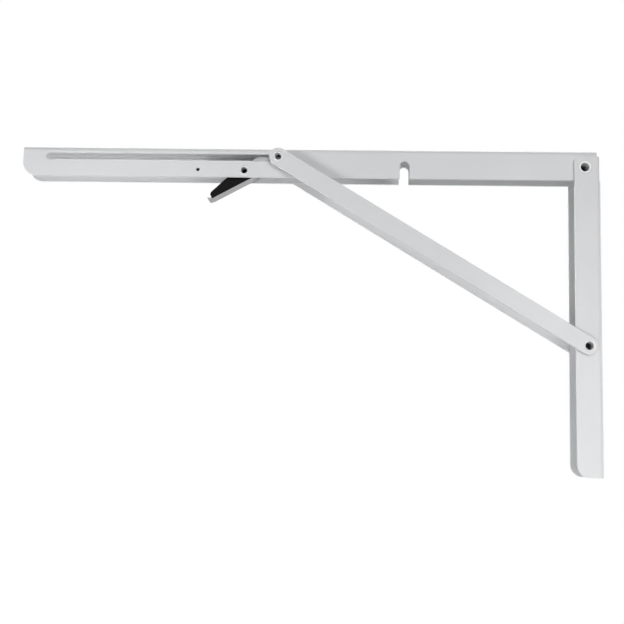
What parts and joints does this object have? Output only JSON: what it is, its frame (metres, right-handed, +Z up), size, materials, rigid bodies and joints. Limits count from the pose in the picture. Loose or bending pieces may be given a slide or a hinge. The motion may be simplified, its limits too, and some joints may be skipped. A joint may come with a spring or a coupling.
{
  "type": "drop leaf table bracket",
  "caption": "Folding shelf or table-leaf bracket: a channel arm hinged to a wall rail, braced by strut bars that slide in the arm's slots, with a sprung release lever.",
  "frame": {"origin": "middle of the wall screws, on the back face of the wall rail", "axes": "+Z up, +X towards the wall so that the arm reaches out along -X, +Y across the bracket from the front, where the hollow rivet ends show, to the rear"},
  "size_m": [0.3999, 0.0319, 0.2226],
  "materials": {
    "white_coat": "satin powder coat",
    "zinc_plate": "zinc plated",
    "spring_steel": "plain drawn wire",
    "black_plastic": "moulded"
  },
  "bodies": {
    "wall": {"wall_rail": "white_coat", "corner_rivet": "zinc_plate", "strut_rivet": "zinc_plate", "strut_washer_front": "zinc_plate", "strut_washer_rear": "zinc_plate"},
    "arm": {"support_arm": "white_coat", "corner_sleeve": "zinc_plate", "lever_rivet": "zinc_plate", "spring_pin": "spring_steel", "latch_spring": "spring_steel"},
    "strut": {"strut_bar_front": "white_coat", "strut_bar_rear": "white_coat", "end_rivet_front": "zinc_plate", "end_rivet_rear": "zinc_plate"},
    "slide": {"slide_stud_front": "zinc_plate", "slide_stud_rear": "zinc_plate", "slide_washer_front": "zinc_plate", "slide_washer_rear": "zinc_plate"},
    "lever": {"release_lever": "zinc_plate", "lever_grip": "black_plastic", "spring_post": "zinc_plate"}
  },
  "joints": [
    {"name": "arm_fold", "type": "hinge", "parent": "wall", "child": "arm", "pos_m": [-0.0109, 0, 0.105], "axis": [0, -1, 0], "range_deg": [0, 90]},
    {"name": "strut_swing", "type": "hinge", "parent": "wall", "child": "strut", "pos_m": [-0.0097, 0, -0.018], "axis": [0, -1, 0], "range_deg": [0, 119.72]},
    {"name": "pin_slide", "type": "slide", "parent": "arm", "child": "slide", "axis": [-1, 0, 0], "range_m": [0, 0.15987]},
    {"name": "lever_press", "type": "hinge", "parent": "arm", "child": "lever", "pos_m": [-0.2451, 0, 0.1012], "axis": [0, 1, 0], "range_deg": [0, 27], "stiffness_Nm_per_rad": 0.05, "springref_deg": -20.05, "deforming": ["latch_spring"]}
  ],
  "couplings": [
    {"joint": "strut_swing", "follows": "arm_fold", "ratio": 1.3301},
    {"joint": "pin_slide", "follows": "arm_fold", "m_per_rad": 0.10176}
  ]
}
